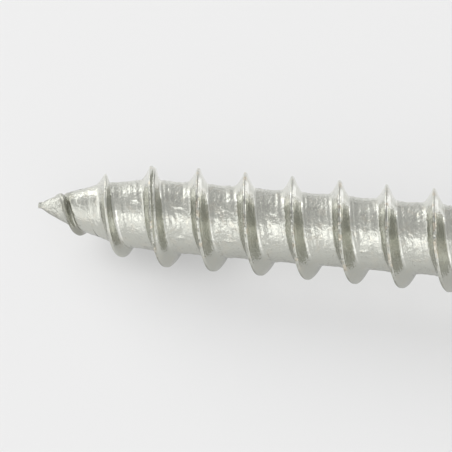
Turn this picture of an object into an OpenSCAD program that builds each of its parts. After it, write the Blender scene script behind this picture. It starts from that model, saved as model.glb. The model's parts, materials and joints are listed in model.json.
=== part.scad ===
// Slotted countersunk wood screw, one piece of stainless steel, lying at rest on a flat surface.
// The screw is drawn upright along its own axis, tip at height 0 and head on top, and then laid down.

/* [Size] */
// Overall length, from the tip to the flat top of the head
screw_len = 30; // [26:1:50]
// Length of the threaded end, from the tip to the full shank
thread_len = 18; // [12:0.5:20]
// Diameter of the plain shank
shank_d = 4; // [3.9:0.05:4.6]

/* [Thread] */
// Distance between neighbouring turns of the thread
pitch = 1.8; // [1.5:0.05:2.4]
// Diameter over the crests of the full thread
crest_d = 3.85; // [3.4:0.05:3.85]
// Diameter of the core at the bottom of the full thread
root_d = 2.7; // [2.4:0.05:2.9]
// Width of the flat on the crest
crest_flat = 0.05; // [0.02:0.01:0.12]
// Angle between the two flanks of the thread
flank_angle = 60; // [40:1:66]
// Reach of the rounding between flank and core
root_round = 0.1; // [0.04:0.01:0.14]

/* [Tip] */
// Diameter of the blunt end of the tip
nib_d = 0.18; // [0.1:0.02:0.4]
// Length over which the core narrows to the tip
taper_len = 5; // [3:0.1:7]
// Distance from the tip to the first turn of the thread
thread_start = 0.27; // [0.1:0.01:1]
// Number of turns over which the thread grows to its full height
growth_turns = 2.8; // [1.5:0.1:4]

/* [Head] */
// Diameter of the head at its rim
head_d = 7.5; // [6.8:0.1:8.5]
// Angle of the countersunk cone
head_angle = 90; // [80:1:100]
// Height of the straight rim between the cone and the flat top
rim_h = 0.45; // [0.25:0.05:0.6]
// Radius of the edge between the rim and the flat top
rim_round = 0.12; // [0.05:0.01:0.2]
// Width of the driver slot
slot_w = 1; // [0.6:0.05:1.4]
// Depth of the driver slot
slot_depth = 1; // [0.6:0.05:1.4]

/* [Rest] */
// How far the screw is turned about its own axis as it lies
roll = 60; // [0:12:348]

/* [Hidden] */

crest_r = crest_d / 2;
root_r = root_d / 2;
shank_r = shank_d / 2;
head_r = head_d / 2;
nib_r = nib_d / 2;
cone_h = (head_r - shank_r) / tan(head_angle / 2);
cone_bottom = screw_len - rim_h - cone_h;

// Length over which the thread runs out into the shank, and how deep pieces of one solid reach into each other
run_out = 0.7 * pitch;
bury = 0.25;
thread_end = thread_len + 2 * bury;

// The threaded skin is a grid with this many columns round the axis
columns = 30;

// Radius of the core at height z: a parabola that rises from the nib and levels out at the full core
function core_at(z) = root_r - (root_r - nib_r) * pow(max(0, 1 - z / taper_len), 2);

// Height of the crest over the core, that many turns from the start of the thread: a parabola too
function ridge_at(turns) =
    turns <= 0 ? 0 : (crest_r - root_r) * (1 - pow(max(0, 1 - turns / growth_turns), 2));

// Half of the thread's outline, as [distance from the middle of the crest, height over the core]:
// the crest, the end of the straight flank, the middle and the end of the rounding, and the open valley
function half_outline(ridge) =
    let (
        slope = tan(flank_angle / 2),
        foot = crest_flat / 2 + ridge * slope,
        reach = min(root_round, ridge * slope / 2)
    )
    [
        [crest_flat / 2, ridge],
        [foot - reach, reach / slope],
        [foot, reach / slope / 4],
        [foot + reach, 0],
        [pitch / 2, 0],
    ];

// One turn of the outline, from just past one valley to the next, has these rows: the first four lie
// on the tip's side of the crest and the last five on the head's side
side_of_crest = [-1, -1, -1, -1, 1, 1, 1, 1, 1];
place_in_half = [3, 2, 1, 0, 0, 1, 2, 3, 4];
rows_per_turn = len(place_in_half);

// Rows begin far enough below the tip that every column starts there, and end past the buried end
turns_below = ceil(thread_start / pitch) + 2;
turns_above = ceil((thread_end - thread_start) / pitch) + 1;
rows = (turns_below + turns_above) * rows_per_turn;

// The outline never shrinks to nothing, so that rows below the first turn stay apart
least_ridge = 0.1;

function turns_at(row, column) = floor(row / rows_per_turn) - turns_below + column / columns;

// Height along the axis and radius of a point of the grid
function grid_zr(row, column) =
    let (
        turns = turns_at(row, column),
        ridge = ridge_at(turns),
        line = row % rows_per_turn,
        spread = half_outline(max(ridge, least_ridge))[place_in_half[line]],
        z = thread_start + turns * pitch + side_of_crest[line] * spread[0],
        height = spread[1] * ridge / max(ridge, least_ridge)
    )
    [z, core_at(z) + height];

function on_circle(column, r, z) =
    let (a = 360 * column / columns)
    [r * cos(a), r * sin(a), z];

// Number of a grid point: past either end of the thread it is the point on that end's ring instead
function point_number(row, column) =
    let (z = grid_zr(row, column)[0])
    column == columns ? point_number(row + rows_per_turn, 0)
    : z <= 0 ? column
    : z >= thread_end ? columns + column
    : (2 + row) * columns + column;

function is_whole(face) = face[0] != face[1] && face[1] != face[2] && face[2] != face[0];

// Threaded end with its tip, as one closed skin whose rows follow the helix of the thread
module threaded_end() {
    around = [0 : columns - 1];
    end_rings = [
        for (end = [[nib_r, 0], [root_r, thread_end]]) for (column = around)
            on_circle(column, end[0], end[1])
    ];
    grid = [
        for (row = [0 : rows + rows_per_turn]) for (column = around)
            let (zr = grid_zr(row, column))
            on_circle(column, zr[1], zr[0])
    ];
    skin = [
        for (row = [0 : rows - 1]) for (column = around)
            let (
                low = point_number(row, column),
                low_next = point_number(row, column + 1),
                high = point_number(row + 1, column),
                high_next = point_number(row + 1, column + 1)
            )
            for (face = [[low, high, high_next], [low, high_next, low_next]])
                if (is_whole(face)) face
    ];
    tip_cap = [for (column = around) column];
    buried_cap = [for (column = around) 2 * columns - 1 - column];
    polyhedron(concat(end_rings, grid), concat(skin, [tip_cap, buried_cap]), convexity = 12);
}

// Plain shank and countersunk head, turned round the axis, with a cone where the thread runs out
module shank_and_head() {
    edge = [
        for (a = [0 : 15 : 90])
            [head_r - rim_round * (1 - cos(a)), screw_len - rim_round * (1 - sin(a))]
    ];
    rotate_extrude($fn = 96)
        polygon(concat(
            [
                [0, thread_len - run_out - bury],
                [root_r - bury, thread_len - run_out - bury],
                [shank_r, thread_len],
                [shank_r, cone_bottom],
                [head_r, screw_len - rim_h],
            ],
            edge,
            [[0, screw_len]]
        ));
}

// Straight slot for the driver, right across the top of the head
module driver_slot() {
    translate([-head_d, -slot_w / 2, screw_len - slot_depth])
        cube([2 * head_d, slot_w, 2 * slot_depth]);
}

// The screw rests on the first full crest of its underside and on the rim of its head
crests_below = ceil(growth_turns - 1 + roll / 360);
crest_touch = thread_start + (crests_below + 1 - roll / 360) * pitch;
rim_touch = screw_len - rim_h;
rest_tilt = atan((head_r - crest_r) / (rim_touch - crest_touch));

// Places of the lying screw's ends along the ground, which put the origin midway between them
tip_x = -nib_r * sin(rest_tilt);
head_x = (screw_len - rim_round) * cos(rest_tilt) + (head_r - rim_round) * sin(rest_tilt) + rim_round;

module wood_screw() {
    color("silver")
        translate([-(tip_x + head_x) / 2, 0, crest_r * cos(rest_tilt) - crest_touch * sin(rest_tilt)])
            rotate([0, 90 - rest_tilt, 0])
                rotate(roll)
                    difference() {
                        union() {
                            threaded_end();
                            shank_and_head();
                        }
                        driver_slot();
                    }
}

wood_screw();
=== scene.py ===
"""A slotted wood screw of bright stainless steel, lying on a pale surface.

Lengths are in metres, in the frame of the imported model. A point of the screw is given by its distance
s from the tip along the screw's own axis, by an angle round that axis, counted from the underside
towards the far side, and by its distance r from the axis.
"""
import json

import bmesh
import bpy
import numpy as np
from mathutils import Matrix, Vector


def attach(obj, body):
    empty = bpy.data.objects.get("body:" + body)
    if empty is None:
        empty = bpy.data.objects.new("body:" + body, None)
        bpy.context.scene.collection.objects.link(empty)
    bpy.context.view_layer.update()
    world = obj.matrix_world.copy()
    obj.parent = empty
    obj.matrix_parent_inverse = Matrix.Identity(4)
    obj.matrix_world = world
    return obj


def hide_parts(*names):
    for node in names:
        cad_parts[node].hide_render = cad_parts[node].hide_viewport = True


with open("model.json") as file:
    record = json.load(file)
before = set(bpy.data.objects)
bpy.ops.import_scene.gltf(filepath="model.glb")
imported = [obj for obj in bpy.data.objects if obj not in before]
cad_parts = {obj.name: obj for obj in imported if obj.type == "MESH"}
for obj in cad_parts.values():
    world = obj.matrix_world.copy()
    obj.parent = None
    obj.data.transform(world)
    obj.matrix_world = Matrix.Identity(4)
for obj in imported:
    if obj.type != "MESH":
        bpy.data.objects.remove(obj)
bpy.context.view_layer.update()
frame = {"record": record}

# The screw as it lies: one piece of stainless wire, headed at one end and rolled to a thread at the other.
# It rests on a crest of the thread and on the rim of the head, so its axis rises towards the head. The
# thread starts, and the slot runs, at the angle of its roll.
mm = 0.001
screw_len = 30 * mm
roll = np.radians(60)

mounts = {mount["name"]: mount for mount in frame["record"]["mounts"]}
along = np.array(mounts["head_top"]["axis"])
along /= np.linalg.norm(along)
under = np.array([along[2], 0, -along[0]])
far = np.array([0.0, 1.0, 0.0])
shank_middle = np.array(mounts["shank"]["pos_m"])
shank_to_head_top = (np.array(mounts["head_top"]["pos_m"]) - shank_middle) @ along
tip = shank_middle + (shank_to_head_top - screw_len) * along


def on_screw(s, angle, r):
    """Points at a distance s from the tip, turned by an angle from the underside, r from the axis."""
    s, angle, r = np.broadcast_arrays(s, angle, r)
    across = np.cos(angle)[..., None] * under + np.sin(angle)[..., None] * far
    return tip + s[..., None] * along + r[..., None] * across


def smooth_grain(x, y, seed, x_cells=256, y_cells=256):
    """Soft random heights from -1 to 1: random values at whole numbers of x and y, joined by smooth steps.
    They repeat after so many cells each way."""
    table = np.random.default_rng(seed).uniform(-1, 1, (x_cells, y_cells))
    x0, y0 = np.floor(x).astype(int), np.floor(y).astype(int)
    fx, fy = x - x0, y - y0
    fx, fy = fx * fx * (3 - 2 * fx), fy * fy * (3 - 2 * fy)
    x0, x1, y0, y1 = x0 % x_cells, (x0 + 1) % x_cells, y0 % y_cells, (y0 + 1) % y_cells
    here = table[x0, y0] * (1 - fy) + table[x0, y1] * fy
    next_x = table[x1, y0] * (1 - fy) + table[x1, y1] * fy
    return here * (1 - fx) + next_x * fx


def bell(value, middle, reach, power=2):
    """1 in the middle and 0 well past the reach on both sides, with a flatter top at a higher power."""
    return np.exp(-(((value - middle) / reach) ** power))


# The threaded end: a coarse right-hand thread rolled between flat dies, which squeeze the metal of the
# valleys up into narrow crests and leave marks along them. The core narrows to a blunt, rough nib.
pitch = 1.8 * mm
crest_r = 1.925 * mm
valley_r = 1.33 * mm
valley_hollow = 0.11 * mm
shank_r = 2.0 * mm
thread_len = 18 * mm
thread_end = 18.5 * mm
run_out = 1.5 * mm
taper_len = 5 * mm
nib_r = 0.11 * mm
nib_cone_r = 0.09 * mm
neck_depth = 0.035 * mm
neck_at = 0.18 * mm
neck_reach = 0.12 * mm
thread_start = 0.27 * mm
late_start = 0.15 * mm
late_turns = 2.2
growth_turns = 2.8
crest_flat = 0.03 * mm
crest_wander = 0.012 * mm
wander_cells = 21
grain_start = 60
tip_side_round = 0.015 * mm
head_side_round = 0.1 * mm
tip_side_reach = 0.38 * mm
head_side_reach = 0.47 * mm
start_spread = 0.28
lean_turn = 1.2
lean_turns = 0.55
tip_side_lean = 0.2
head_side_lean = 0.42
flank_hollow = 1.75
head_side_crease = 0.04
tip_side_crease = 0.015

columns = 200
column_turn = np.arange(columns) / columns


def core_radius(s):
    """A parabola that rises from the nib and levels out at the full core, less a slight neck behind
    the nib, and a straight cone up to the shank where the thread runs out."""
    parabola = valley_r - (valley_r - nib_cone_r) * np.maximum(0, 1 - s / taper_len) ** 2
    necked = parabola - neck_depth * bell(s, neck_at, neck_reach)
    cone = shank_r + (s - thread_len) * (shank_r - valley_r) / run_out
    return np.clip(np.maximum(np.maximum(necked, nib_r), cone), 0, shank_r)


def crest_place(turns):
    """Distance of the crest from the tip: even turns, whose first ones come a little late."""
    late = late_start * np.maximum(0, 1 - np.maximum(turns, 0) / late_turns)
    wander = smooth_grain(turns * wander_cells + grain_start, turns * 0, 8) * crest_wander
    return thread_start + turns * pitch + late + wander


def grown_share(turns):
    """How much of its full height the thread has, a number of turns from its start: a parabola."""
    return np.where(turns > 0, 1 - np.maximum(0, 1 - turns / growth_turns) ** 2, 0)


def ridge_spread(turns, head_side):
    """Distance from the middle of the crest to the foot of the flank. A lower ridge is narrower. The dies
    lean a little: the flank on the side of the head reaches further, but on the first turn the other."""
    leant = bell(turns, lean_turn, lean_turns, 4)
    full = np.where(head_side, head_side_reach * (1 - head_side_lean * leant),
                    tip_side_reach * (1 + tip_side_lean * leant))
    return full * (start_spread + (1 - start_spread) * grown_share(turns))


def ridge_profile(offset, spread, grown, rounding, crease):
    """Height over the core at an offset from the crest. The crest has a narrow flat, rounded off as a
    hyperbola. The flank is a power of the share of its reach that is left, sunk by a small share so that
    it meets the valley in a crease, and a wide parabola hollows the whole valley."""
    beyond_flat = np.maximum(abs(offset) - crest_flat, 0)
    hollow = valley_hollow * np.maximum(0, 1 - abs(offset) / (pitch / 2)) ** 2
    reach = np.sqrt((spread - crest_flat) ** 2 + rounding**2) - rounding
    share = np.clip((np.sqrt(beyond_flat**2 + rounding**2) - rounding) / reach, 0, 1)
    flank = np.maximum(0, (1 - share) ** flank_hollow - crease) / (1 - crease)
    return grown * (hollow + (crest_r - valley_r - valley_hollow) * flank)


# Rows of the grid across one turn: over the crest, down each flank and out to the middle of the valley
flank_rows = np.array([0, 0.075, 0.11, 0.16, 0.23, 0.32, 0.43, 0.56, 0.7, 0.85, 1.0])
valley_rows = np.linspace(0, 1, 12)[1:]
half_rows = np.concatenate([flank_rows, 1 + valley_rows])
turn_rows = np.concatenate([-half_rows[-2:0:-1], half_rows])
turns_below = 2
turns_above = int(np.ceil((thread_end - thread_start) / pitch)) + 1
row_turn = np.repeat(np.arange(-turns_below, turns_above + 1), len(turn_rows))
row_place = np.tile(turn_rows, turns_below + turns_above + 1)

turns = row_turn[:, None] + column_turn[None, :]
grown = grown_share(turns)
place = row_place[:, None]
spread = ridge_spread(turns, place > 0)
offset = np.sign(place) * (np.minimum(abs(place), 1) * spread
                           + np.maximum(abs(place) - 1, 0) * (pitch / 2 - spread))
s = np.clip(crest_place(turns) + offset, 0, thread_end)
offset = s - crest_place(turns)
core = core_radius(s)

in_thread = (s > 0) & (s < thread_end)
rounding = np.where(place > 0, head_side_round, tip_side_round)
crease = np.where(place > 0, head_side_crease, tip_side_crease)
ridge = np.where(in_thread, ridge_profile(offset, spread, grown, rounding, crease), 0)

# The two flaps of metal that close the crest leave a seam along it, on one side of the screw. On the third
# turn one of them has lapped over, which makes the crest broad, with a crack in it and a second lip on the
# side of the head.
seam_width = 0.018 * mm
seam_depth = 0.02 * mm
seam_cells = 9
seam_uneven = 0.3
seamless_turn = 0.15
lap_turn = 2.32
lap_turns = 0.24
crack_at = 0.07 * mm
crack_width = 0.035 * mm
crack_depth = 0.08 * mm
crack_start = 2.18
crack_run = 0.06
lip_at = 0.21 * mm
lip_width = 0.085 * mm
lip_height = 0.18 * mm
lapped = bell(turns, lap_turn, lap_turns, 4)
seam_grain = smooth_grain(turns * seam_cells + grain_start, turns * 0, 6)
seam = bell(offset, 0, seam_width) * (1 - seam_uneven + seam_uneven * seam_grain)
seam = seam * (0.5 - 0.5 * np.cos(2 * np.pi * (turns - seamless_turn)))
crack = bell(offset, crack_at, crack_width) * lapped * np.clip((turns - crack_start) / crack_run, 0, 1)
lip = bell(offset, lip_at, lip_width) * lapped
folds = grown * (lip * lip_height - crack * crack_depth - seam * seam_depth)

# A short hollow lies behind the start of the crest, on the side of the head, where the dies first bit
bite_turn = 0.3
bite_turns = 0.25
bite_at = 0.17 * mm
bite_width = 0.07 * mm
bite_depth = 0.06 * mm
folds = folds - bell(turns, bite_turn, bite_turns, 4) * bell(offset, bite_at, bite_width) * bite_depth

# Roll marks: grooves along the thread, deep between the first turns, and on the others only at the feet
# of the flanks
mark_width = 0.11 * mm
mark_depth = 0.03 * mm
mark_turns = 0.16
mark_start = 40
marked_turn = 1.75
marked_turns = 0.62
foot_at = 0.58 * mm
foot_width = 0.11 * mm
foot_share = 0.85
least_share = 0.08
clear_from = 0.85
clear_run = 0.35
middle_run = 0.12 * mm
clear_of_crest = np.clip((abs(offset) - clear_from * spread) / (clear_run * spread), 0, 1)
clear_of_middle = np.clip((pitch / 2 - abs(offset)) / middle_run, 0, 1)
first_turns = bell(turns, marked_turn, marked_turns, 4)
near_foot = bell(abs(offset), foot_at, foot_width)
mark_share = least_share + (1 - least_share) * np.maximum(first_turns, foot_share * near_foot)
marks = smooth_grain(offset / mark_width + mark_start, turns / mark_turns + mark_start, 3)
marks = marks * mark_depth * mark_share * grown * clear_of_crest * clear_of_middle

# Shallow dents all over the valleys, pressed in by grit and chips between the dies, and mostly rolled out
# again where the marks are deep
dent_width = 0.12 * mm
dent_depth = 0.014 * mm
dents_round = 70
dent_level = 0.4
dent_wander = 0.8
wander_stretch = 0.7
rolled_out = 0.7
dent_x, dent_y = s / dent_width, np.broadcast_to(column_turn * dents_round, s.shape)
dent_shift = smooth_grain(dent_x * wander_stretch, dent_y, 11, y_cells=dents_round) * dent_wander
dents = smooth_grain(dent_x + dent_shift, dent_y + dent_shift, 12, y_cells=dents_round)
dents = (abs(dents) - dent_level) * dent_depth * clear_of_crest * (1 - rolled_out * first_turns)

# A few nicks across the valleys, of a die that was chipped: each is a short low ridge along the screw. A
# place is its distance from the tip in millimetres and its angle in degrees.
nick_length = 0.2 * mm
nick_width = 0.05 * mm
nick_height = 0.035 * mm
nick_places = [(5.58, 193), (5.73, 245), (7.24, 190), (7.57, 243), (9.16, 191), (12.7, 240), (3.9, 190)]
nicks = 0
for nick_s, nick_angle in nick_places:
    turned_by = 2 * np.pi * column_turn + roll - np.radians(nick_angle)
    round_to_nick = ((turned_by + np.pi) % (2 * np.pi) - np.pi) * valley_r
    nicks = nicks + nick_height * bell(s, nick_s * mm, nick_length, 4) * bell(round_to_nick, 0, nick_width)

# The crest itself is slightly uneven, because the metal of the two flanks never quite closes there
wave_cells = 30
wave_height = 0.006 * mm
wave_width = 0.1 * mm
crest_wave = smooth_grain(turns * wave_cells + grain_start, turns * 0 + 0.5, 5, x_cells=512) * wave_height
waved = crest_wave * grown * bell(offset, 0, wave_width)
relief = np.where(in_thread & (s < thread_len - run_out), marks + dents + nicks + folds + waved, 0)
r = np.where(s < thread_end, np.maximum(core, np.minimum(core, valley_r) + ridge) + relief, shank_r)
thread_angle = 2 * np.pi * column_turn + roll
thread_points = on_screw(s, thread_angle[None, :], r)

# The column after the last is the first one a turn further on, so the grid closes along the helix
rows, wrap = thread_points.shape[0], len(turn_rows)
number = np.arange(rows * columns).reshape(rows, columns)
low, high = number[: rows - wrap - 1], number[1 : rows - wrap]
low_next = np.concatenate([low[:, 1:], number[wrap : rows - 1, :1]], axis=1)
high_next = np.concatenate([high[:, 1:], number[wrap + 1 : rows, :1]], axis=1)
thread_faces = np.stack([low, low_next, high_next, high], axis=-1).reshape(-1, 4)

# The plain shank and the countersunk head, forged from the same wire. The cone meets the shank in a
# small fillet, and the rim and the flat top have a slightly rounded edge.
head_r = 3.75 * mm
rim_h = 0.45 * mm
rim_round = 0.12 * mm
rim_corner = 0.04 * mm
neck_fillet = 0.25 * mm
cone_bottom = screw_len - rim_h - (head_r - shank_r)


def arc(middle_s, middle_r, radius, start, stop, steps):
    """Points of a round edge, as pairs of s and r, at even angles counted from the s direction."""
    a = np.radians(np.linspace(start, stop, steps))
    return np.stack([middle_s + radius * np.cos(a), middle_r + radius * np.sin(a)], axis=-1)


def line(start, stop, steps):
    """Evenly spaced points of a straight stretch, without its ends."""
    share = np.linspace(0, 1, steps + 2)[1:-1, None]
    return np.array(start) * (1 - share) + np.array(stop) * share


fillet_run = neck_fillet * np.tan(np.radians(22.5))
neck = arc(cone_bottom - fillet_run, shank_r + neck_fillet, neck_fillet, -90, -45, 7)
corner_run = rim_corner * np.tan(np.radians(22.5))
corner = arc(screw_len - rim_h + corner_run, head_r - rim_corner, rim_corner, 135, 90, 4)
edge = arc(screw_len - rim_round, head_r - rim_round, rim_round, 90, 0, 9)
head_profile = np.concatenate([
    [[thread_end, shank_r]],
    line([thread_end, shank_r], neck[0], 14),
    neck,
    line(neck[-1], corner[0], 10),
    corner,
    line(corner[-1], edge[0], 2),
    edge,
    line(edge[-1], [screw_len, 0], 12),
])
head_points = on_screw(head_profile[:, :1], thread_angle[None, :], head_profile[:, 1:])

ring_count = len(head_profile)
ring = np.arange(ring_count * columns).reshape(ring_count, columns)
ring_next = np.roll(ring, -1, axis=1)
head_faces = np.stack([ring[:-1], ring_next[:-1], ring_next[1:], ring[1:]], axis=-1).reshape(-1, 4)

# The two grids become one closed skin: the tip and the middle of the head are closed with fans
weld = 0.0002 * mm
pole_points = np.array([tip, tip + screw_len * along])
first_ring = rows * columns
poles = first_ring + ring_count * columns
last_ring = first_ring + ring[-1]
tip_ring = number[0]
all_points = np.concatenate([thread_points.reshape(-1, 3), head_points.reshape(-1, 3), pole_points])
tip_fan = np.stack([np.full(columns, poles), np.roll(tip_ring, -1), tip_ring], axis=-1)
top_fan = np.stack([np.full(columns, poles + 1), last_ring, np.roll(last_ring, -1)], axis=-1)
all_faces = [
    *thread_faces.tolist(),
    *(head_faces + first_ring).tolist(),
    *tip_fan.tolist(),
    *top_fan.tolist(),
]

mesh = bpy.data.meshes.new("rolled_screw")
mesh.from_pydata(all_points.tolist(), [], all_faces)
screw = bpy.data.objects.new("rolled_screw", mesh)
bpy.context.scene.collection.objects.link(screw)

skin = bmesh.new()
skin.from_mesh(mesh)
bmesh.ops.remove_doubles(skin, verts=skin.verts, dist=weld)
bmesh.ops.dissolve_degenerate(skin, edges=skin.edges, dist=weld)
bmesh.ops.recalc_face_normals(skin, faces=skin.faces)
open_edges = sum(1 for edge_of_skin in skin.edges if not edge_of_skin.is_manifold)
print("screw skin:", len(skin.faces), "faces,", open_edges, "open edges")
skin.to_mesh(mesh)
skin.free()

# The driver slot, sawn straight across the top of the head: its floor has small corner rounds from the
# saw, and its mouth is slightly flared where the burr was tumbled off.
slot_w = 1.0 * mm
slot_depth = 1.0 * mm
slot_corner = 0.1 * mm
slot_flare = 0.05 * mm

half = slot_w / 2
floor_s = screw_len - slot_depth
floor_corner = arc(floor_s + slot_corner, half - slot_corner, slot_corner, 180, 90, 5)
half_section = np.concatenate([
    floor_corner,
    [[screw_len - slot_flare, half], [screw_len + slot_flare, half + 2 * slot_flare]],
])
section = np.concatenate([half_section, half_section[::-1] * [1, -1]])
slot_way = np.cos(roll) * under + np.sin(roll) * far
slot_side = -np.sin(roll) * under + np.cos(roll) * far
section_points = tip + section[:, :1] * along + section[:, 1:] * slot_side
ends = [section_points - 2 * head_r * slot_way, section_points + 2 * head_r * slot_way]
count = len(section)
this, after = np.arange(count), (np.arange(count) + 1) % count
walls = np.stack([this, after, after + count, this + count], axis=-1).tolist()
saw_mesh = bpy.data.meshes.new("saw_cut")
saw_faces = [*walls, this[::-1].tolist(), (this + count).tolist()]
saw_mesh.from_pydata(np.concatenate(ends).tolist(), [], saw_faces)
saw_cut = bpy.data.objects.new("saw_cut", saw_mesh)
bpy.context.scene.collection.objects.link(saw_cut)
saw = bmesh.new()
saw.from_mesh(saw_mesh)
bmesh.ops.recalc_face_normals(saw, faces=saw.faces)
saw.to_mesh(saw_mesh)
saw.free()

cut = screw.modifiers.new("driver_slot", "BOOLEAN")
cut.operation = "DIFFERENCE"
cut.solver = "MANIFOLD"
cut.object = saw_cut
bpy.context.view_layer.update()
cut_mesh = bpy.data.meshes.new_from_object(screw.evaluated_get(bpy.context.evaluated_depsgraph_get()))
screw.modifiers.clear()
screw.data = cut_mesh
bpy.data.objects.remove(saw_cut)
sharp_angle = np.radians(38)
cut_mesh.polygons.foreach_set("use_smooth", np.ones(len(cut_mesh.polygons), bool))
cut_mesh.set_sharp_from_angle(angle=sharp_angle)
print("screw mesh:", sum(len(face.vertices) - 2 for face in cut_mesh.polygons), "triangles")

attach(screw, "root")
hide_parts("wood_screw")


# The finish: bright stainless steel as it leaves the thread rollers, never ground. It is pitted, streaked
# along the thread where the dies dragged over it, and flecked with a warmer tone.
class Wire:
    """One output of a shader node: Python's own operators on it add Math nodes."""

    def __init__(self, tree, socket):
        self.tree = tree
        self.socket = socket

    def node(self, kind, settings, inputs, output=0):
        """Add a node of one type, with its settings first and then its inputs, and give one output."""
        made = self.tree.nodes.new(kind)
        for name, value in settings.items():
            setattr(made, name, value)
        for name, value in inputs.items():
            if isinstance(value, Wire):
                self.tree.links.new(value.socket, made.inputs[name])
            else:
                made.inputs[name].default_value = value
        return Wire(self.tree, made.outputs[output])

    def math(self, operation, *others):
        """A Math node on this value and the others."""
        inputs = dict(enumerate([self, *others]))
        return self.node("ShaderNodeMath", {"operation": operation}, inputs)

    def __add__(self, other):
        return self.math("ADD", other)

    def __sub__(self, other):
        return self.math("SUBTRACT", other)

    def __mul__(self, other):
        return self.math("MULTIPLY", other)

    def __rsub__(self, other):
        return self.node("ShaderNodeMath", {"operation": "SUBTRACT"}, {0: other, 1: self})

    __radd__ = __add__
    __rmul__ = __mul__

    def between(self, low_end, high_end):
        """0 below one value and 1 above the other, with a smooth step between them."""
        inputs = {"Value": self, "From Min": low_end, "From Max": high_end}
        return self.node("ShaderNodeMapRange", {"interpolation_type": "SMOOTHSTEP"}, inputs)

    def within(self, rise_start, rise_end, fall_start, fall_end):
        """1 from the end of the rise to the start of the fall and 0 outside them, with smooth steps."""
        return self.between(rise_start, rise_end) * (1 - self.between(fall_start, fall_end))

    def close_to(self, middle, full_reach, no_reach):
        """1 up to one distance from the middle and 0 past the other, with a smooth step between them."""
        return 1 - (self - middle).math("ABSOLUTE").between(full_reach, no_reach)

    def part(self, name):
        """The X, Y or Z of this vector."""
        return self.node("ShaderNodeSeparateXYZ", {}, {"Vector": self}, name)

    def vector_math(self, operation, other, output=0):
        """A Vector Math node on this vector and another."""
        return self.node("ShaderNodeVectorMath", {"operation": operation}, {0: self, 1: other}, output)

    def noise(self, scale, detail, roughness=0.5, distortion=0):
        """Soft random values from 0 to 1 over this vector, at a scale of so many grains to its unit."""
        inputs = {"Vector": self, "Scale": scale, "Detail": detail, "Roughness": roughness,
                  "Distortion": distortion}
        return self.node("ShaderNodeTexNoise", {}, inputs)


def joined(x, y, z):
    """The vector of three values."""
    return x.node("ShaderNodeCombineXYZ", {}, {"X": x, "Y": y, "Z": z})


def blended(share, colour, other):
    """A colour with a share of another one in it. Inputs 6 and 7 of the node are its two colours."""
    return share.node("ShaderNodeMix", {"data_type": "RGBA"}, {0: share, 6: colour, 7: other}, 2)


steel = bpy.data.materials.new("rolled_stainless")
steel.use_nodes = True
tree = steel.node_tree
shader = tree.nodes["Principled BSDF"]
start = Wire(tree, None)

# Object coordinates turned so that x runs along the screw's axis, in millimetres from the tip. y runs to
# the far side and z up from the axis.
tilt = np.arctan2(along[2], along[0])
turned = np.array([[np.cos(tilt), 0, np.sin(tilt)], [0, 1, 0], [-np.sin(tilt), 0, np.cos(tilt)]])
place_mm = start.node("ShaderNodeMapping", {}, {
    "Vector": start.node("ShaderNodeTexCoord", {}, {}, "Object"),
    "Location": tuple(-turned @ tip / mm),
    "Rotation": (0, tilt, 0),
    "Scale": (1 / mm, 1 / mm, 1 / mm),
})
x, y, z = place_mm.part("X"), place_mm.part("Y"), place_mm.part("Z")
radius = (y * y + z * z).math("SQRT")

# The place across the turns is the same all along one helix, and so is the way along the axis from the
# crest of the nearest turn
pitch_mm = pitch / mm
across_turns = x + y.math("ARCTAN2", z) * (pitch_mm / (2 * np.pi))
from_crest = (across_turns - (thread_start + pitch / 3) / mm).math("WRAP", pitch_mm / 2, -pitch_mm / 2)

streaks = joined(across_turns * 12, y * 0.9, z * 0.9).noise(1, 3)
worms = place_mm.noise(4.5, 2, 0.6, 0.8)
pits = place_mm.noise(10, 2)
pores = place_mm.noise(16, 1).between(0.58, 0.72)
grains = place_mm.noise(6, 1)
worn = place_mm.noise(1.3, 2).between(0.38, 0.62)
warm = place_mm.noise(3.5, 2).between(0.52, 0.68)

# The plain end carries the lines that its wire was drawn with, which the forging spread over the cone of
# the head, rings of the lathe on its top, and the saw's strokes along the slot
across_slot = z * np.sin(roll) + y * np.cos(roll)
along_slot = y * np.sin(roll) - z * np.cos(roll)
threaded = 1 - x.between((thread_len - run_out) / mm, thread_end / mm)
on_top = x.between((screw_len - 0.5 * rim_round) / mm, (screw_len - 0.1 * rim_round) / mm)
past_wall = 0.03
in_slot = across_slot.close_to(0, half / mm + past_wall, half / mm + 2 * past_wall)
in_slot = in_slot * x.between(floor_s / mm - past_wall, floor_s / mm)
safe_radius = radius + 0.001
drawn = joined(x * 0.35, y.math("DIVIDE", safe_radius) * 14, z.math("DIVIDE", safe_radius) * 14).noise(1, 3)
lathed = joined(radius * 16, y * 0.5, z * 0.5).noise(1, 2)
sawn = joined(x * 15, across_slot * 15, along_slot * 0.8).noise(1, 2)

# The skin differs from part to part: the tip is rough, the first valleys are smooth on the near side, the
# flanks are streaked by the dies, and the crests are pitted. The bump's height is all of this.
rough_tip = 1 - x.between(0.75, 1.05)
on_flank = radius.between(1.34, 1.44)
on_crest = radius.between(1.84, 1.88) * threaded
smooth_part = x.within(1.2, 1.5, 3.7, 4.1) * (1 - y.between(-0.15, 0.15) * 0.8)
rolled_relief = (worms * (0.3 + worn * 0.45) * (1 - on_flank * 0.85) * (1 - smooth_part * 0.7)
                 + pits * (0.2 + worn * 0.2 + on_crest * 0.3)
                 - pores * (0.05 + worn * 0.1) * (1 - on_flank) * (1 - smooth_part)
                 + streaks * (0.2 + on_flank * 0.25) * (1 - smooth_part * 0.6)
                 + grains * rough_tip * 1.6)
top_relief = lathed * 0.8 + worms * 0.15
side_relief = drawn * 0.6 + worms * worn * 0.25
plain_relief = top_relief * on_top + side_relief * (1 - on_top)
plain_relief = plain_relief * (1 - in_slot) + sawn * in_slot
relief = rolled_relief * threaded + (plain_relief + pits * 0.15) * (1 - threaded)
roughness = 0.12 + worn * 0.05 + rough_tip * 0.1

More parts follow.
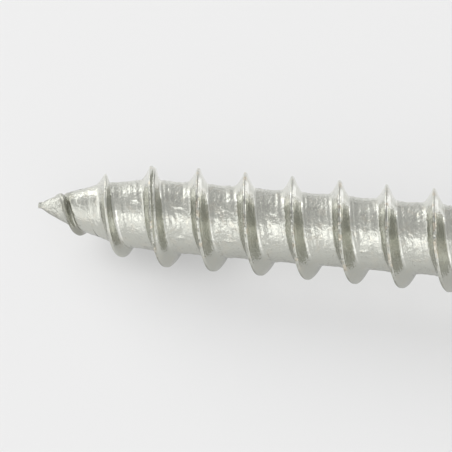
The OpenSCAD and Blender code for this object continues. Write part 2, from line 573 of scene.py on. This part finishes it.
# Painted highlights: the steel colour is raised almost to white, as if burnished by the dies, in a band
# beside the crest, at the foot of the flank and on the flanks near the top of the screw, only on the upper
# side where the light falls. Warm flecks lie all over, most on the crests.
steel_colour = (0.615, 0.62, 0.565, 1)
highlight_colour = (0.95, 0.95, 0.9, 1)
warm_colour = (0.72, 0.63, 0.5, 1)
crest_highlight = from_crest.within(0.03, 0.06, 0.14, 0.19) * y.within(-0.2, 0.1, 0.7, 1)
crest_highlight = crest_highlight * x.between(4.9, 5.3) * z.between(0, 0.5)
foot_highlight = from_crest.within(0.36, 0.38, 0.41, 0.43) * x.between(3.7, 4.1) * z.between(0, 0.4)
first_foot_highlight = from_crest.within(0.3, 0.33, 0.38, 0.41) * x.within(3.1, 3.25, 3.55, 3.7) * z.between(0, 0.3)
top_flank_highlight = on_flank * x.between(4.4, 4.8) * y.within(-0.1, 0.12, 0.35, 0.6) * z.between(0, 0.5)
# Painted highlight: a brighter colour only on the upper side, where the light falls
painted_highlight = (crest_highlight + foot_highlight * 0.35 + first_foot_highlight * 0.8 + top_flank_highlight * 0.5) * threaded
colour = blended(painted_highlight, steel_colour, highlight_colour)
colour = blended(warm * (0.12 + on_crest * z.between(0, 0.6) * 0.45), colour, warm_colour)

# Dark colour, mostly painted shade: in the hollow behind the first crest, along that crest, round the first
# lobe, and on the edge of the crests below the axis and, high up, beside the band of painted highlight. Only
# the traces in the seam are dirt.
shade_and_dirt_colour = (0.2, 0.2, 0.155, 1)
bite_middle = (1.17, -0.02, 0.5)
bite_size = np.array([0.29, 0.45, 0.32])
from_bite = place_mm.vector_math("SUBTRACT", bite_middle).vector_math("MULTIPLY", tuple(1 / bite_size))
from_bite = from_bite.vector_math("LENGTH", (0, 0, 0), "Value")
bite_shade = 1 - (from_bite + pits * 0.6).between(0.8, 1.7)
in_seam = from_crest.close_to(0, 0.01, 0.05) * worms.between(0.45, 0.6) * on_crest
in_seam = in_seam * (1 - y.between(-0.3, 0.4))
low_edge_shade = from_crest.close_to(-0.02, 0.03, 0.07) * on_crest * (1 - z.between(-0.2, 0.3))
high_edge_shade = from_crest.close_to(0.06, 0.02, 0.05) * on_crest * x.between(4.4, 4.8)
high_edge_shade = high_edge_shade * y.within(-0.4, -0.1, 0.2, 0.5)
start_line = from_crest - z.between(0, 0.5) * 0.13
start_shade = start_line.close_to(0.03, 0.06, 0.1) * x.within(1, 1.1, 1.4, 1.7)
first_lobe_shade = from_crest.close_to(0.12, 0.2, 0.32) * x.within(1.2, 1.4, 1.7, 1.95)
# Painted shade in the hollow, at the start, on the first lobe and on the crest edges; the seam traces are
# dirt
shade_and_dirt = bite_shade * 0.55
for dark_mark in [in_seam * 0.6, (low_edge_shade + high_edge_shade) * 0.4, start_shade * 0.8, first_lobe_shade * 0.5]:
    shade_and_dirt = shade_and_dirt.math("MAXIMUM", dark_mark)
colour = blended(shade_and_dirt, colour, shade_and_dirt_colour)

bump_depth = 0.05 * mm
bumped = start.node("ShaderNodeBump", {}, {"Strength": 1.0, "Distance": bump_depth, "Height": relief})

shader.inputs["Metallic"].default_value = 1
tree.links.new(colour.socket, shader.inputs["Base Color"])
tree.links.new(roughness.socket, shader.inputs["Roughness"])
tree.links.new(bumped.socket, shader.inputs["Normal"])
screw.data.materials.clear()
screw.data.materials.append(steel)

# The surface it lies on: a smooth pale sheet, far wider than the screw.
sheet_half = 400 * mm
sheet_mesh = bpy.data.meshes.new("pale_sheet")
corners = [[-sheet_half, -sheet_half, 0], [sheet_half, -sheet_half, 0], [sheet_half, sheet_half, 0],
           [-sheet_half, sheet_half, 0]]
sheet_mesh.from_pydata(corners, [], [[0, 1, 2, 3]])
sheet = bpy.data.objects.new("pale_sheet", sheet_mesh)
bpy.context.scene.collection.objects.link(sheet)

paper = bpy.data.materials.new("pale_paper")
paper.use_nodes = True
paper_tree = paper.node_tree
paper_shader = paper_tree.nodes["Principled BSDF"]
paper_shader.inputs["Base Color"].default_value = (0.775, 0.775, 0.775, 1)
paper_shader.inputs["Roughness"].default_value = 0.25

# Part of what is seen of the sheet is a glowing plain colour, painted light, so that the shadow on it stays
# pale:
# painted shadow makes it a little darker beside the first turns and painted light lighter beside the others.
# What the steel mirrors of it is a painted reflection: darker beneath the screw and brighter behind it and
# at the far left. Places on the sheet are in millimetres.
paper_start = Wire(paper_tree, None)
by_camera = paper_start.node("ShaderNodeLightPath", {}, {}, "Is Camera Ray")
by_steel = paper_start.node("ShaderNodeLightPath", {}, {}, "Is Glossy Ray")
sheet_place = paper_start.node("ShaderNodeTexCoord", {}, {}, "Object")
sheet_place = sheet_place.vector_math("MULTIPLY", (1 / mm, 1 / mm, 1 / mm))
sheet_x, sheet_y = sheet_place.part("X"), sheet_place.part("Y")
behind = sheet_y.within(1.5, 3, 7, 11)
beneath = sheet_y.within(-1.2, -0.6, 1, 1.5)
far_left = (1 - sheet_x.between(-22, -13)) * sheet_y.between(8, 14)
# Painted reflection for the steel, and painted shadow and light for the camera
painted_reflection = behind * 0.44 + far_left * 0.4 - beneath * 0.16 + 0.05
painted_deeper_shadow = sheet_x.within(-13.5, -11.5, -9, -6.5) * sheet_y.within(-1.9, -0.7, -0.2, 1)
painted_paler_shadow = sheet_x.within(-9, -5.5, 2, 12) * sheet_y.within(-2.8, -0.8, -0.2, 1)
shown = painted_paler_shadow * 0.14 - painted_deeper_shadow * 0.13 + 0.2
plain = by_camera * shown + by_steel * painted_reflection + 0.66
mixed = paper_start.node("ShaderNodeMixShader", {}, {
    0: by_camera * 0.5 + by_steel * 0.5,
    1: Wire(paper_tree, paper_shader.outputs[0]),
    2: paper_start.node("ShaderNodeEmission", {}, {"Color": plain}),
})
paper_tree.links.new(mixed.socket, paper_tree.nodes["Material Output"].inputs["Surface"])
sheet_mesh.materials.append(paper)

# The camera: a long lens that looks down on the threaded end from the near side, so that lines that
# run away from it hardly close up. Angles are counted round the screw's place on the sheet.
camera_elevation = np.radians(60)
camera_turn = np.radians(11.6)
camera_roll = np.radians(-2.95)
camera_distance = 300 * mm
frame_width = 17.01 * mm
aim_from_tip = 7.2 * mm
aim_drop = 0.17 * mm


def direction(elevation, turn):
    """The way to something at that elevation, turned from the near side towards the head's side."""
    level = np.cos(elevation)
    return np.array([level * np.sin(turn), -level * np.cos(turn), np.sin(elevation)])


to_camera = direction(camera_elevation, camera_turn)
level_up = -direction(camera_elevation - np.pi / 2, camera_turn)
level_right = np.cross(level_up, to_camera)
screen_up = np.cos(camera_roll) * level_up - np.sin(camera_roll) * level_right
screen_right = np.cross(screen_up, to_camera)
aim = tip + aim_from_tip * along - aim_drop * screen_up
camera_data = bpy.data.cameras.new("camera")
camera = bpy.data.objects.new("camera", camera_data)
bpy.context.scene.collection.objects.link(camera)
camera.location = Vector(aim + camera_distance * to_camera)
camera.rotation_euler = Matrix((screen_right, screen_up, to_camera)).transposed().to_euler()
camera_data.sensor_width = 36
camera_data.lens = camera_data.sensor_width * camera_distance / frame_width
bpy.context.scene.camera = camera


# The light of a small studio: a pale room, a soft lamp on the near side, which draws the band of light
# along the valleys, and a lamp at the far left, which gives the soft shadow. That one stands behind a
# screen, so what the steel mirrors of it is only the pale glow that the room has on that side.
def soft_lamp(name, elevation, turn, distance, width, depth, brightness):
    """A rectangular lamp that faces the screw, whose surface looks as bright as that number."""
    lamp = bpy.data.lights.new(name, "AREA")
    lamp.shape = "RECTANGLE"
    lamp.size = width
    lamp.size_y = depth
    lamp.energy = np.pi * width * depth * brightness
    holder = bpy.data.objects.new(name, lamp)
    bpy.context.scene.collection.objects.link(holder)
    way = direction(np.radians(elevation), np.radians(turn))
    holder.location = Vector(aim + distance * way)
    holder.rotation_euler = Vector(-way).to_track_quat("-Z", "Y").to_euler()
    return holder


soft_lamp("near_lamp", elevation=45, turn=-24, distance=0.4, width=0.21, depth=0.22, brightness=0.74)
screened = soft_lamp("far_left_lamp", elevation=26, turn=-123, distance=0.4, width=0.4, depth=0.3,
                     brightness=3.5)
screened.visible_glossy = False

# The room is brighter on the near side and on the left, most of all straight to the left and in the glow
# at the far left, and on the right low down at the far side. Its far side is uneven.
room = bpy.data.worlds.new("pale_room")
room.use_nodes = True
way = Wire(room.node_tree, None).node("ShaderNodeTexCoord", {}, {}, "Generated")
towards_head, towards_far, upwards = way.part("X"), way.part("Y"), way.part("Z")
towards_tip = 0 - towards_head
near_share = (0 - towards_far).math("MAXIMUM", 0)
glow_way = tuple(direction(np.radians(19), np.radians(-137)))
glow = way.vector_math("DOT_PRODUCT", glow_way, "Value").between(0.955, 0.98)
left_side = towards_tip.between(0.15, 0.45) * (towards_far.math("ABSOLUTE") * 0.24 + near_share * 0.12 + 0.1)
left_end = towards_tip.between(0.7, 0.95) * 0.7
low_left = towards_tip.between(0.25, 0.5) * towards_far.between(0.3, 0.6) * (1 - upwards.between(0.35, 0.55))
low_right = towards_head.between(0.5, 0.7) * towards_far.between(0, 0.3) * (1 - upwards.between(0.15, 0.35))
near_right = towards_head.between(0.35, 0.6) * near_share
uneven = (way.noise(4, 1).between(0.42, 0.58) - 0.5) * towards_far.between(-0.3, 0.1)
brightness = (near_share * 0.3 + left_side + left_end + low_left * 0.35 + low_right * 2 + near_right * 0.9
              + glow + uneven * 0.2 + 0.56)
background = room.node_tree.nodes["Background"]
background.inputs["Color"].default_value = (1, 1, 1, 1)
room.node_tree.links.new(brightness.socket, background.inputs["Strength"])
bpy.context.scene.world = room
bpy.context.scene.view_settings.view_transform = "Standard"
